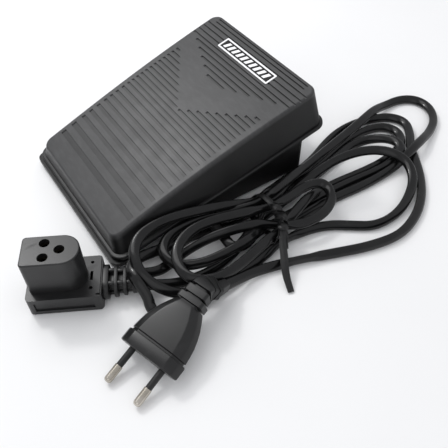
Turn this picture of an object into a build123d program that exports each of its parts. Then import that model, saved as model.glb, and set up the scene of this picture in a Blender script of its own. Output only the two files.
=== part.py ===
"""Electronic foot controller for a sewing machine: pedal, three-hole connector, mains plug and tied cord.

Frame: millimetres, +Z up, +Y from the heel (hinge) to the toe, +X to the right of the foot.
The origin is on the floor, under the middle of the pedal.
"""
from build123d import *
from math import atan2, cos, degrees, hypot, pi, radians, sin, sqrt, tan
import os

os.makedirs("parts", exist_ok=True)

# ---------------------------------------------------------------- driving dimensions: treadle
HEEL_Y, HEEL_Z = -68.0, 5.9        # heel edge of the treadle's rim, at rest
REST_TILT = 12.2                   # slope of the rim plane at rest, degrees
TRAVEL = 9.0                       # pedal travel, degrees
TREADLE_L = 142.0                  # along the rim plane
RIM_HALF = 52.0                    # half width of the wall at the rim
LIP_OUT = 1.4                      # bead outside the wall
LIP_H = 2.0
TOP_HEEL = (46.0, 4.5, 11.5)       # half width, place along the treadle, height above the rim
TOP_MID = (74.0, 20.8)
TOP_TOE = (49.75, 141.0, 25.2)
SKIN = 2.2                         # moulding thickness
CORNER_R = 6.0
GROOVE_DEPTH = 0.7
GROOVE_HALF = 43.4                 # half length of a groove, inside the smooth border
GROOVE_SHARE = 0.44                # share of a pitch that is groove
GROOVE_START = 16.8
PITCH_GROUPS = ((2, 7.7), (3, 5.6), (4, 4.45), (16, 3.38))
WRAP_COUNT, WRAP_PITCH = 4, 3.68   # toe grooves that run over both side edges
WRAP_SHARE = 0.3
TOE_GROOVES, TOE_GROOVE_W = (135.3, 137.9), 0.9
BAND_OUT_APEX, BAND_OUT_END = 77.0, 107.5
BAND_IN_APEX, BAND_IN_END = 101.0, 119.5
BADGE_L, BADGE_W, BADGE_V = 48.6, 8.4, 127.8
BADGE_T = 0.7

# ---------------------------------------------------------------- driving dimensions: base
BASE_HALF = 46.5
BASE_HEEL, BASE_TOE = -62.0, 63.0
BASE_Z = 3.0                       # underside of the tray, on its feet
FLOOR_TOP = 5.0
WALL = 2.4
WALL_TOP_HEEL, WALL_TOP_TOE = 13.0, 24.0
FLANGE_W, FLANGE_L, FLANGE_H = 106.0, 12.0, 2.5   # heel flange of the tray
HINGE_Y, HINGE_Z = -58.0, 9.5
PIN_R, PIN_CLEAR, PIN_HALF = 1.5, 0.06, 50.0
COVER_Z, COVER_T = 17.0, 2.0
COVER_HEEL, COVER_TOE = -34.0, 59.8
COVER_HALF = 43.6
COVER_SCREWS = [(x, y) for x in (-38.0, 38.0) for y in (-27.0, 53.0)]
FOOT_R = 6.0
FEET = [(x, y) for x in (-37.0, 37.0) for y in (-51.0, 51.0)]
BOARD = (-33.0, 29.0, -30.0, -4.0)  # x from, x to, y from, y to
BOARD_Z, BOARD_T = 8.0, 1.6
BOARD_SCREWS = [(x, y) for x in (-30.0, 26.0) for y in (-27.0, -7.0)]
PLUNGER_Y = 8.0
PLUNGER_R, PLUNGER_CLEAR = 2.5, 0.05
HEAD_R, HEAD_T, DOME_R = 6.5, 1.6, 16.0
PAD_W = 18.6                       # height of the treadle's push pad above the rim plane
PUSH_GAP = 0.3
RIB_W = 13.0                       # height of the toe ribs' lower edge above the rim plane
STOP_X, STOP_Y, STOP_R, STOP_GAP = 25.0, 47.0, 4.0, 0.3
GLAND_Y, GLAND_Z = -12.0, 7.2
GLAND_R, GLAND_TIP_R, GLAND_TIP_X = 3.0, 2.6, 68.5
GLAND_NECK_R = 2.5

# ---------------------------------------------------------------- driving dimensions: cord set
CORD_R = 2.1                       # round section of the same area as the flat twin cord
CONN_AT, CONN_TURN = (49.9, -114.2), 61.0   # front left corner of the block, direction of its length
BLOCK_L, BLOCK_W, BLOCK_TOP = 28.0, 18.0, 35.0
BLOCK_ROUND, BLOCK_CORNER = 8.6, 2.0
PLATE_T, PLATE_FROM, PLATE_TO = 12.5, -2.0, 35.0
PLATE_FRONT, PLATE_BACK = -4.2, 21.4        # measured across, positive away from the front
SOCKETS = [(11.0, 13.4), (11.0, 4.6), (18.4, 9.0)]
SOCKET_R, CONTACT_R, CONTACT_SINK = 2.6, 1.75, 3.0
RELIEF_L = 19.0
PLUG_AT, PLUG_TURN, PLUG_TILT = (110.6, -82.4, 7.3), 107.5, 14.5
PLUG_HALF_W, PLUG_HALF_H = 17.5, 6.85
COLLAR_L, PLUG_BODY_L = 7.0, 27.0
PIN_SPACE, MAINS_PIN_R, MAINS_PIN_L, SLEEVE_L = 18.4, 2.0, 19.0, 10.0
PIN_CORE_R, SLEEVE_R = 1.2, 1.7
TIE_Y = 15.0
TIE_X0, TIE_X1, TIE_Z0, TIE_Z1 = 59.4, 90.4, 1.3, 19.4   # the bundle where it is tied
HANK_ROUND = 0.27                  # corner radius of the bundle as a share of its height
HANK_GAP = 0.4                     # room left round the pieces that lie in the bundle

# The stretch of mains cord that lies open on the floor, from the plug to the tied hank.
FLOOR_LOOP = [
    (98.2, -30.0, 9.4),
    (96.0, -18.0, 5.0),
    (97.2, -4.0, 3.0),
    (102.5, 13.0, 2.8),
    (110.0, 32.0, 2.8),
    (117.8, 52.0, 2.8),
    (121.6, 72.0, 2.8),
    (116.6, 89.5, 2.8),
    (108.0, 103.5, 2.8),
    (96.5, 115.0, 2.8),
    (84.0, 124.0, 2.8),
]


# ---------------------------------------------------------------- helpers
def save(node, shape):
    """One STEP file per node; separate solids of one node stay separate."""
    solids = shape.solids() if not isinstance(shape, list) else [s for p in shape for s in p.solids()]
    body = solids[0] if len(solids) == 1 else Compound(children=solids)
    body.label = node
    export_step(body, f"parts/{node}.step")


def block(x0, x1, y0, y1, z0, z1):
    return Pos((x0 + x1) / 2, (y0 + y1) / 2, (z0 + z1) / 2) * Box(x1 - x0, y1 - y0, z1 - z0)


def rod(x, y, z0, z1, r):
    return Pos(x, y, (z0 + z1) / 2) * Cylinder(r, z1 - z0)


def cross_rod(x0, x1, y, z, r):
    return Pos((x0 + x1) / 2, y, z) * Rot(0, 90, 0) * Cylinder(r, x1 - x0)


def tilted(shape):
    """Put a piece drawn in the treadle's own frame (rim plane, heel at zero) where it is at rest."""
    return Pos(0, HEEL_Y, HEEL_Z) * Rot(REST_TILT, 0, 0) * shape


def arc_circle(p, q, r):
    """Centre and radius of the circle through three points."""
    (ax, ay), (bx, by), (cx, cy) = p, q, r
    d = 2 * (ax * (by - cy) + bx * (cy - ay) + cx * (ay - by))
    a, b, c = ax * ax + ay * ay, bx * bx + by * by, cx * cx + cy * cy
    ux = (a * (by - cy) + b * (cy - ay) + c * (ay - by)) / d
    uy = (a * (cx - bx) + b * (ax - cx) + c * (bx - ax)) / d
    return ux, uy, hypot(ax - ux, ay - uy)


CROWN_V, CROWN_W, CROWN_R = arc_circle(TOP_HEEL[1:], TOP_MID, TOP_TOE[1:])


def crown(v):
    """Height of the treadle's top above the rim plane at distance v from the heel."""
    return CROWN_W + sqrt(CROWN_R ** 2 - (v - CROWN_V) ** 2)


def crown_slope(v):
    return degrees(atan2(CROWN_V - v, crown(v) - CROWN_W))


# ---------------------------------------------------------------- treadle
def under_crown(drop, low=-5.0):
    """Everything below the treadle's crowned top, lowered by drop."""
    v0, v1 = -8.0, TREADLE_L + 8.0
    mid = (v0 + v1) / 2
    with BuildPart() as part:
        with BuildSketch(Plane.YZ):
            with BuildLine():
                Polyline((v0, crown(v0) - drop), (v0, low), (v1, low), (v1, crown(v1) - drop))
                ThreePointArc((v0, crown(v0) - drop), (mid, crown(mid) - drop), (v1, crown(v1) - drop))
            make_face()
        extrude(amount=RIM_HALF + 10, both=True)
    return part.part


def treadle_hull(inset, low=0.0):
    """Tapering box from the rim up past the crown, drawn inset from the outside."""
    reach = 1.3
    hw, hv, hz = (b + reach * (t - b) for b, t in zip((RIM_HALF, 0.6, 0.0), TOP_HEEL))
    tw, tv, tz = (b + reach * (t - b) for b, t in zip((RIM_HALF, TREADLE_L, 0.0), TOP_TOE))
    rise = atan2(tz - hz, tv - hv)
    top_plane = Plane(origin=(0, hv, hz), x_dir=(1, 0, 0), z_dir=(0, -sin(rise), cos(rise)))
    length = hypot(tv - hv, tz - hz)
    r = CORNER_R - inset
    with BuildPart() as part:
        with BuildSketch(Plane.XY.offset(low)) as lower:
            x, y0, y1 = RIM_HALF - inset, 0.6 + inset, TREADLE_L - inset
            Polygon((-x, y0), (x, y0), (x, y1), (-x, y1), align=None)
            fillet(lower.vertices(), r)
        with BuildSketch(top_plane) as upper:
            a, b = hw - inset, tw - inset
            Polygon((-a, inset), (a, inset), (b, length - inset), (-b, length - inset), align=None)
            fillet(upper.vertices(), r)
        loft(ruled=True)
    return part.part


def band_width(v):
    """Half widths of the plain V band at v: of its heel side and of its toe side."""
    outer = (v - BAND_OUT_APEX) / (BAND_OUT_END - BAND_OUT_APEX) * GROOVE_HALF
    inner = (v - BAND_IN_APEX) / (BAND_IN_END - BAND_IN_APEX) * GROOVE_HALF
    return outer, inner


def groove_list():
    """(start, width, half length) of each groove from heel to toe."""
    v = GROOVE_START
    rows = []
    for count, pitch in PITCH_GROUPS:
        for _ in range(count):
            rows.append((v, GROOVE_SHARE * pitch, GROOVE_HALF))
            v += pitch
    for _ in range(WRAP_COUNT):
        rows.append((v, WRAP_SHARE * WRAP_PITCH, RIM_HALF + 4))
        v += WRAP_PITCH
    return rows + [(v, TOE_GROOVE_W, GROOVE_HALF) for v in TOE_GROOVES]


def groove_plan():
    """Plan of all grooves, left out where the V band crosses them."""
    shapes = []
    for v, width, half in groove_list():
        outer, inner = band_width(v + width / 2)
        if outer <= 0:
            spans = [(-half, half)]
        else:
            spans = [(-half, -outer), (outer, half)] if outer < half - 1 else []
            if inner >= half - 1:
                spans = [(-half, half)]
            elif inner > 1:
                spans.append((-inner, inner))
        for a, b in spans:
            shapes.append(Pos((a + b) / 2, v + width / 2) * Rectangle(b - a, width))
    return Sketch(children=shapes)


def push_pad_v():
    """Where the plunger's axis meets the pad plane, along the treadle at rest."""
    rise = radians(REST_TILT)
    return (PLUNGER_Y - HEEL_Y + PAD_W * sin(rise)) / cos(rise)


def hinge_local():
    """The hinge axis in the treadle's own frame."""
    rise = radians(REST_TILT)
    dy, dz = HINGE_Y - HEEL_Y, HINGE_Z - HEEL_Z
    return dy * cos(rise) + dz * sin(rise), -dy * sin(rise) + dz * cos(rise)


def treadle():
    solid = treadle_hull(0) & under_crown(0)
    top = solid.faces().sort_by(Axis.Z)[-1]
    solid = fillet(top.edges(), 1.6)
    lip_plan = Pos(0, TREADLE_L / 2 + 0.3) * RectangleRounded(
        2 * (RIM_HALF + LIP_OUT), TREADLE_L - 0.6 + 2 * LIP_OUT, CORNER_R + LIP_OUT)
    lip = fillet(extrude(lip_plan, LIP_H).edges().group_by(Axis.Z)[-1], 0.9)
    solid += lip
    solid -= treadle_hull(SKIN, low=-3.0) & under_crown(SKIN)
    ears = []
    hv, hw = hinge_local()
    for side in (-1, 1):
        ear = block(BASE_HALF + 0.4, 51.0, hv - 4.0, hv + 4.0, 0.0, hw + 4.0)
        ears.append(ear if side > 0 else mirror(ear, Plane.YZ))
    pad = rod(0, push_pad_v(), PAD_W, crown(push_pad_v()) - SKIN + 0.5, 7.5)
    ribs = [block(x - 0.8, x + 0.8, 100.0, 138.0, RIB_W, 22.5) for x in (-STOP_X, 0.0, STOP_X)]
    inner = pad + ears[0] + ears[1] + ribs[0] + ribs[1] + ribs[2]
    solid += inner & (treadle_hull(0.4) & under_crown(SKIN - 0.8))
    solid -= cross_rod(-PIN_HALF, PIN_HALF, hv, hw, PIN_R)
    groove_tool = extrude(groove_plan(), 60) - under_crown(GROOVE_DEPTH, low=-10.0)
    solid -= groove_tool
    solid -= badge_place(Box(BADGE_L + 0.3, BADGE_W + 0.3, 2.0), 1.0 - BADGE_T - 0.1)
    return tilted(solid)


def badge_place(shape, lift):
    """Lay a piece on the crowned top where the badge is; lift is measured from the top surface."""
    return Pos(0, BADGE_V, crown(BADGE_V)) * Rot(crown_slope(BADGE_V), 0, 0) * Pos(0, 0, lift) * shape


def badge_plate():
    plate = extrude(RectangleRounded(BADGE_L, BADGE_W, 0.6), BADGE_T)
    return tilted(badge_place(plate, -BADGE_T - 0.1))


def badge_frame():
    """White frame with ten plain slanted bars."""
    frame = RectangleRounded(BADGE_L, BADGE_W, 0.6) - Rectangle(BADGE_L - 2.2, BADGE_W - 2.0)
    pieces = [extrude(frame, 0.25)]
    pitch, lean, tall, wide = 4.3, 1.0, 4.2, 2.3
    for i in range(10):
        x = (i - 4.5) * pitch
        bar = Polygon((x - wide / 2 - lean, -tall / 2), (x + wide / 2 - lean, -tall / 2),
                      (x + wide / 2 + lean, tall / 2), (x - wide / 2 + lean, tall / 2), align=None)
        pieces.append(extrude(bar, 0.2))
    return [tilted(badge_place(p, -0.1)) for p in pieces]


def hinge_pin():
    return cross_rod(-PIN_HALF, PIN_HALF, HINGE_Y, HINGE_Z, PIN_R)


# ---------------------------------------------------------------- plunger and spring
def height_under(y, w, tilt):
    """Height at y of a face that is w above the rim plane, when the rim plane slopes by tilt degrees."""
    _, hw = hinge_local()
    rise = radians(tilt)
    return HINGE_Z + (y - HINGE_Y) * tan(rise) + (w - hw) / cos(rise)


def dome_top(tilt):
    """Top of the plunger's dome that just clears the push pad."""
    return height_under(PLUNGER_Y, PAD_W, tilt) - DOME_R * (1 / cos(radians(tilt)) - 1) - PUSH_GAP


DOME_Z = dome_top(REST_TILT)
STROKE = DOME_Z - dome_top(REST_TILT - TRAVEL)
DOME_H = DOME_R - sqrt(DOME_R ** 2 - HEAD_R ** 2)
HEAD_Z = DOME_Z - DOME_H - HEAD_T          # underside of the plunger's head at rest
TUBE_TOP = HEAD_Z - STROKE - 0.5
PLUNGER_BOTTOM = FLOOR_TOP + 1.0 + STROKE
FINGER_X, FINGER_T, FINGER_W = 9.8, 1.6, 6.0


def plunger():
    head = rod(0, 0, HEAD_Z, DOME_Z + 1, HEAD_R) & Pos(0, 0, DOME_Z - DOME_R) * Sphere(DOME_R)
    stem = rod(0, 0, PLUNGER_BOTTOM, HEAD_Z, PLUNGER_R)
    arm = block(0, FINGER_X + FINGER_T, -FINGER_W / 2, FINGER_W / 2, HEAD_Z, HEAD_Z + 1.5)
    finger = block(FINGER_X, FINGER_X + FINGER_T, -FINGER_W / 2, FINGER_W / 2, PLUNGER_BOTTOM, HEAD_Z + 1.5)
    return Pos(0, PLUNGER_Y, 0) * (head + stem + arm + finger)


def wiper_contact():
    """Sprung leaf on the finger, which brushes the track board."""
    x = FINGER_X + FINGER_T
    leaf = block(x, x + 0.3, -2.0, 2.0, PLUNGER_BOTTOM + 0.5, PLUNGER_BOTTOM + 8.0)
    nose = Pos(x + 0.45, 0, PLUNGER_BOTTOM + 1.6) * Rot(90, 0, 0) * Cylinder(0.45, 4.0)
    return Pos(0, PLUNGER_Y, 0) * (leaf + nose)


def return_spring():
    """Open coil spring round the guide tube, between the cover and the plunger's head."""
    wire_r, coil_r, turns = 0.4, 5.4, 6.5
    height = HEAD_Z - (COVER_Z + COVER_T) - 2 * wire_r - 0.1
    path = Helix(pitch=height / turns, height=height, radius=coil_r)
    section = Plane(origin=path @ 0, z_dir=path % 0) * Circle(wire_r)
    wire = sweep(section, path=path, is_frenet=True)
    return Pos(0, PLUNGER_Y, COVER_Z + COVER_T + wire_r + 0.05) * wire


# ---------------------------------------------------------------- base
def base_tray():
    mid = (BASE_HEEL + BASE_TOE) / 2
    length = BASE_TOE - BASE_HEEL
    height = WALL_TOP_TOE - BASE_Z
    outer = Pos(0, mid, BASE_Z) * extrude(RectangleRounded(2 * BASE_HALF, length, 5.0), height)
    cavity = Pos(0, mid, FLOOR_TOP) * extrude(
        RectangleRounded(2 * (BASE_HALF - WALL), length - 2 * WALL, 5.0 - WALL), height)
    tray = outer - cavity
    # heel flange: the treadle's heel edge comes down on it, which stops the treadle at rest
    flange = Pos(0, BASE_HEEL - 2.8, BASE_Z) * extrude(RectangleRounded(FLANGE_W, FLANGE_L, 5.0), FLANGE_H)
    tray += flange
    for side in (-1, 1):
        ear = block(BASE_HALF - WALL - 4.0, BASE_HALF - 0.5, HINGE_Y - 4.0, HINGE_Y + 4.0, FLOOR_TOP - 0.5, 13.0)
        tray += ear if side > 0 else mirror(ear, Plane.YZ)
    for x, y in COVER_SCREWS:
        tray += rod(x, y, FLOOR_TOP - 0.5, COVER_Z, 3.5)
        tray -= rod(x, y, FLOOR_TOP + 1, COVER_Z + 1, 1.25)
    for x, y in BOARD_SCREWS:
        tray += rod(x, y, FLOOR_TOP - 0.5, BOARD_Z, 2.6)
        tray -= rod(x, y, FLOOR_TOP + 0.4, BOARD_Z + 1, 1.05)
    for y in (1.4, 14.8):
        post = block(11.8, 15.8, y - 1.0, y + 1.2, FLOOR_TOP - 0.5, 12.0)
        tray += post
    for dy in (-7.2, 7.2):
        tray += rod(36.5, GLAND_Y + dy, FLOOR_TOP - 0.5, 9.4, 2.4)
        tray -= rod(36.5, GLAND_Y + dy, FLOOR_TOP + 0.4, 10.0, 1.05)
    slope = (WALL_TOP_TOE - WALL_TOP_HEEL) / length
    with BuildPart() as above:
        with BuildSketch(Plane.YZ):
            Polygon((BASE_HEEL - 12, WALL_TOP_HEEL - 12 * slope), (BASE_TOE + 12, WALL_TOP_TOE + 12 * slope),
                    (BASE_TOE + 12, 60), (BASE_HEEL - 12, 60), align=None)
        extrude(amount=BASE_HALF + 10, both=True)
    tray -= above.part
    tray -= cross_rod(-PIN_HALF, PIN_HALF, HINGE_Y, HINGE_Z, PIN_R + PIN_CLEAR)
    tray -= cross_rod(BASE_HALF - WALL - 1, BASE_HALF + 5, GLAND_Y, GLAND_Z, GLAND_NECK_R)
    tray -= cross_rod(BASE_HALF - WALL - 2.4, BASE_HALF - WALL, GLAND_Y, GLAND_Z, GLAND_R + 0.1)
    return tray


def chassis_cover():
    mid = (COVER_HEEL + COVER_TOE) / 2
    cover = Pos(0, mid, COVER_Z) * extrude(RectangleRounded(2 * COVER_HALF, COVER_TOE - COVER_HEEL, 2.4), COVER_T)
    cover += block(-COVER_HALF + 1, COVER_HALF - 1, COVER_HEEL, COVER_HEEL + 2, FLOOR_TOP + 0.1, COVER_Z + 0.5)
    cover += rod(0, PLUNGER_Y, COVER_Z, TUBE_TOP, 4.2)
    cover -= rod(0, PLUNGER_Y, COVER_Z - 1, TUBE_TOP + 1, PLUNGER_R + PLUNGER_CLEAR)
    cover -= block(FINGER_X - 0.8, FINGER_X + FINGER_T + 2.2, PLUNGER_Y - 3.8, PLUNGER_Y + 3.8,
                   COVER_Z - 1, COVER_Z + COVER_T + 1)
    for x, y in COVER_SCREWS:
        cover -= rod(x, y, COVER_Z - 1, COVER_Z + COVER_T + 1, 1.7)
    return cover


def pan_screw(x, y, z, shank_r, shank_l, head_r, head_h):
    """Pan-head screw standing on z, with a cross recess."""
    screw = rod(x, y, z - shank_l, z, shank_r)
    head = fillet(rod(x, y, z, z + head_h, head_r).edges().group_by(Axis.Z)[-1], head_h * 0.4)
    screw += head
    arm = 0.22 * head_r
    reach = 0.6 * head_r
    for a, b in ((reach, arm), (arm, reach)):
        screw -= block(x - a, x + a, y - b, y + b, z + head_h * 0.45, z + head_h + 1)
    return screw


def rubber_feet():
    feet = []
    for x, y in FEET:
        foot = rod(x, y, 0, BASE_Z, FOOT_R)
        feet.append(chamfer(foot.edges().group_by(Axis.Z)[0], 0.6))
    return feet


def stop_pads():
    """Two soft pads on the cover that the treadle's ribs come down on."""
    pads = []
    top = height_under(STOP_Y - STOP_R, RIB_W, REST_TILT - TRAVEL) - STOP_GAP
    for x in (-STOP_X, STOP_X):
        pad = rod(x, STOP_Y, COVER_Z + COVER_T, top, STOP_R)
        pads.append(fillet(pad.edges().group_by(Axis.Z)[-1], 1.0))
    return pads


def cord_gland():
    """Rubber bush in the side wall with a long tapered sleeve outside."""
    wall_in, wall_out = BASE_HALF - WALL, BASE_HALF
    profile = [
        (wall_in - 2.2, 0), (wall_in - 2.2, GLAND_R), (wall_in, GLAND_R), (wall_in, GLAND_NECK_R),
        (wall_out, GLAND_NECK_R), (wall_out, GLAND_R), (wall_out + 9, GLAND_R),
        (GLAND_TIP_X, GLAND_TIP_R), (GLAND_TIP_X, 0),
    ]
    with BuildPart() as part:
        with BuildSketch(Plane.XZ):
            with BuildLine():
                Polyline(*profile, close=True)
            make_face()
        revolve(axis=Axis.X)
    return Pos(0, GLAND_Y, GLAND_Z) * part.part


# ---------------------------------------------------------------- electrics under the cover
def circuit_board():
    x0, x1, y0, y1 = BOARD
    board = block(x0, x1, y0, y1, BOARD_Z, BOARD_Z + BOARD_T)
    for x, y in BOARD_SCREWS:
        board -= rod(x, y, BOARD_Z - 1, BOARD_Z + BOARD_T + 1, 1.3)
    return board


ON_BOARD = BOARD_Z + BOARD_T


def film_capacitor():
    box = block(-24.0, -7.0, -27.0, -19.5, ON_BOARD, ON_BOARD + 6.2)
    return fillet(box.edges().filter_by(Axis.Z), 0.8)


def choke_coil():
    return Pos(4.6, -20.5, ON_BOARD + 2.5) * Torus(5.6, 2.4)


def heatsink():
    sheet = block(-27.0, -7.0, -16.5, -5.0, ON_BOARD, ON_BOARD + 1.2)
    return sheet + block(-27.0, -7.0, -17.7, -16.5, ON_BOARD, ON_BOARD + 6.0)


def triac():
    body = block(-22.0, -12.0, -12.0, -6.0, ON_BOARD + 1.2, ON_BOARD + 5.4)
    return chamfer(body.edges().group_by(Axis.Z)[-1], 0.5)


def resistors():
    """Four small resistors lying in a row."""
    row = []
    for i in range(4):
        body = Pos(-2.0 + 3.6 * i, -8.4, ON_BOARD + 1.3) * Rot(90, 0, 0) * Cylinder(1.15, 6.4)
        row.append(fillet(body.edges(), 0.4))
    return row


def terminal_block():
    body = block(14.0, 22.0, -27.0, -14.0, ON_BOARD, ON_BOARD + 6.4)
    for y in (-24.8, -20.5, -16.2):
        body -= rod(18.0, y, ON_BOARD + 4.6, ON_BOARD + 8, 1.5)
        body -= cross_rod(19.5, 24.0, y, ON_BOARD + 2.2, 1.1)
    return body


def track_board():
    """Upright board with the resistance track, standing in two grooved posts."""
    x = FINGER_X + FINGER_T + 1.1
    return block(x, x + 1.2, 2.7, 13.7, FLOOR_TOP, COVER_Z - 0.4)


def cord_clamp():
    """Bridge that holds the cord's tail down, screwed to two posts."""
    bridge = block(33.8, 39.2, GLAND_Y - 10.0, GLAND_Y + 10.0, 9.4, 11.0)
    for dy in (-7.2, 7.2):
        bridge -= rod(36.5, GLAND_Y + dy, 8, 12, 1.3)
    return bridge


def cord_tail():
    return cross_rod(31.5, BASE_HALF - WALL - 2.2, GLAND_Y, GLAND_Z, 2.05)


# ---------------------------------------------------------------- connector
def at_connector(shape):
    """Connector frame: X along its length towards the cord, Y away from its front face, Z up."""
    return Pos(CONN_AT[0], CONN_AT[1], 0) * Rot(0, 0, CONN_TURN) * shape


def connector_block():
    plan = Pos(BLOCK_L / 2, BLOCK_W / 2) * Rectangle(BLOCK_L, BLOCK_W)
    ends = plan.vertices().group_by(Axis.X)
    plan = fillet(ends[-1], BLOCK_ROUND)
    plan = fillet(plan.vertices().group_by(Axis.X)[0], BLOCK_CORNER)
    body = Pos(0, 0, PLATE_T) * extrude(plan, BLOCK_TOP - PLATE_T)
    body = fillet(body.edges().group_by(Axis.Z)[-1], 0.7)
    for u, n in SOCKETS:
        body -= rod(u, n, PLATE_T - 1, BLOCK_TOP + 1, SOCKET_R)
    return at_connector(body)


def connector_plate():
    """Foot of the connector, with a long shallow panel in its front face and a ridge at the cord end."""
    cx, cy = (PLATE_FROM + PLATE_TO) / 2, (PLATE_FRONT + PLATE_BACK) / 2
    plan = Pos(cx, cy) * RectangleRounded(PLATE_TO - PLATE_FROM, PLATE_BACK - PLATE_FRONT, 2.2)
    body = chamfer(extrude(plan, PLATE_T).edges().group_by(Axis.Z)[0], 0.8)
    body -= block(PLATE_FROM + 3.5, PLATE_TO - 4.0, PLATE_FRONT - 1, PLATE_FRONT + 0.8, 3.2, 9.6)
    body += block(PLATE_TO - 2.6, PLATE_TO - 0.6, PLATE_FRONT + 1.5, PLATE_BACK - 1.5, PLATE_T, PLATE_T + 0.9)
    for n in (PLATE_BACK - 4.2, PLATE_FRONT + 5.6):
        body -= rod(PLATE_TO - 5.2, n, PLATE_T - 5, PLATE_T + 1, 0.9)
    body -= block(PLATE_TO - 5.9, PLATE_TO - 4.5, 6.0, 11.6, PLATE_T - 4, PLATE_T + 1)
    return at_connector(body)


def socket_contacts():
    tubes = []
    for u, n in SOCKETS:
        tube = rod(u, n, PLATE_T, BLOCK_TOP - CONTACT_SINK, SOCKET_R)
        tubes.append(at_connector(tube - rod(u, n, PLATE_T + 1.5, BLOCK_TOP, CONTACT_R)))
    return tubes


RELIEF_N, RELIEF_Z = 8.6, 6.4


def connector_relief():
    """Flat strain relief for two cords side by side: rings on a core."""
    rings = 5
    step = RELIEF_L / rings
    body = None
    for i in range(rings):
        share = i / (rings - 1)
        half_n, half_z = 9.6 - 2.2 * share, 5.6 - 1.2 * share
        x = PLATE_TO + i * step
        plane = Plane(origin=(x, RELIEF_N, RELIEF_Z), x_dir=(0, 1, 0), z_dir=(1, 0, 0))
        ring = extrude(plane * RectangleRounded(2 * half_n, 2 * half_z, half_z - 0.3), step * 0.55)
        core = extrude(plane * RectangleRounded(2 * half_n - 3.0, 2 * half_z - 2.6, half_z - 1.8), step)
        body = ring + core if body is None else body + ring + core
    return at_connector(body)


# ---------------------------------------------------------------- mains plug
def at_plug(shape):
    """Plug frame: X back along the plug from its face, Y to its left, Z up out of its flat side."""
    return Pos(*PLUG_AT) * Rot(0, 0, PLUG_TURN) * Rot(0, -PLUG_TILT, 0) * shape


def plug_section(x, half_w, half_h):
    """Flat six-sided section with soft corners, square to the plug's length."""
    plane = Plane(origin=(x, 0, 0), x_dir=(0, 1, 0), z_dir=(1, 0, 0))
    side = half_w - 0.62 * half_h
    outline = Polygon((-half_w, 0), (-side, -half_h), (side, -half_h), (half_w, 0), (side, half_h), (-side, half_h),
                      align=None)
    return plane * fillet(outline.vertices(), 0.16 * half_h)


def plug_collar():
    """Pin carrier: the front part of the plug."""
    body = extrude(plug_section(0, PLUG_HALF_W, PLUG_HALF_H), COLLAR_L)
    for side in (-1, 1):
        body -= Pos(2.5, side * PIN_SPACE / 2, 0) * Rot(0, 90, 0) * Cylinder(PIN_CORE_R, 5.0)
    return at_plug(body)


def plug_body(grow=0.0):
    rows = [(0.0, 0.7, 0.5), (9.0, 2.2, 0.7), (19.0, 6.0, 1.2), (PLUG_BODY_L, 11.3, 2.0)]
    sections = [plug_section(COLLAR_L + x, PLUG_HALF_W - a + grow, PLUG_HALF_H - b + grow) for x, a, b in rows]
    return at_plug(loft(sections))


def plug_pins():
    pins = []
    bare = MAINS_PIN_L - SLEEVE_L
    for side in (-1, 1):
        tip = Pos(-SLEEVE_L - bare / 2, 0, 0) * Rot(0, 90, 0) * Cylinder(MAINS_PIN_R, bare)
        tip = fillet(tip.edges().group_by(Axis.X)[0], 1.6)
        core = Pos((5.0 - SLEEVE_L) / 2, 0, 0) * Rot(0, 90, 0) * Cylinder(PIN_CORE_R, 5.0 + SLEEVE_L)
        pins.append(at_plug(Pos(0, side * PIN_SPACE / 2, 0) * (tip + core)))
    return pins


def pin_sleeves():
    sleeves = []
    for side in (-1, 1):
        tube = Cylinder(SLEEVE_R, SLEEVE_L) - Cylinder(PIN_CORE_R, SLEEVE_L + 1)
        sleeves.append(at_plug(Pos(-SLEEVE_L / 2, side * PIN_SPACE / 2, 0) * Rot(0, 90, 0) * tube))
    return sleeves


def plug_tail():
    """Where the plug body ends: the point and its direction."""
    yaw, pitch = radians(PLUG_TURN), radians(PLUG_TILT)
    along = Vector(cos(yaw) * cos(pitch), sin(yaw) * cos(pitch), sin(pitch))
    return Vector(*PLUG_AT) + along * (COLLAR_L + PLUG_BODY_L), along


def plug_relief(grow=0.0):
    """Tapered strain relief that droops from the plug down to the cord's first point."""
    start, along = plug_tail()
    end = Vector(*FLOOR_LOOP[0])
    leave = (Vector(*FLOOR_LOOP[1]) - end).normalized()
    path = Edge.make_spline([start, end], tangents=[along, leave])
    first = Plane(origin=start, z_dir=along) * Circle(4.3 + grow)
    last = Plane(origin=end, z_dir=leave) * Circle(2.9 + grow)
    return sweep([first, last], path=path, multisection=True)


# ---------------------------------------------------------------- free cord
def cord_tube(points, radius):
    """Tube along straight runs joined by tangent arcs; prints the radii and the volume check."""
    corners = [Vector(*p) for p in points]
    radii = []
    for a, b, c in zip(corners, corners[1:], corners[2:]):
        turn = radians((b - a).get_angle(c - b))
        radii.append(0.45 * min((b - a).length, (c - b).length) / tan(turn / 2))
    path = FilletPolyline(*corners, radius=radii)
    start = Plane(origin=corners[0], z_dir=corners[1] - corners[0])
    tube = sweep(start * Circle(radius), path=path)
    length = sum(e.length for e in path.edges())
    print("cord radii", [round(r, 1) for r in radii], "length", round(length, 1),
          "volume ratio", round(tube.volume / (pi * radius ** 2 * length), 4))
    return tube


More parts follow.
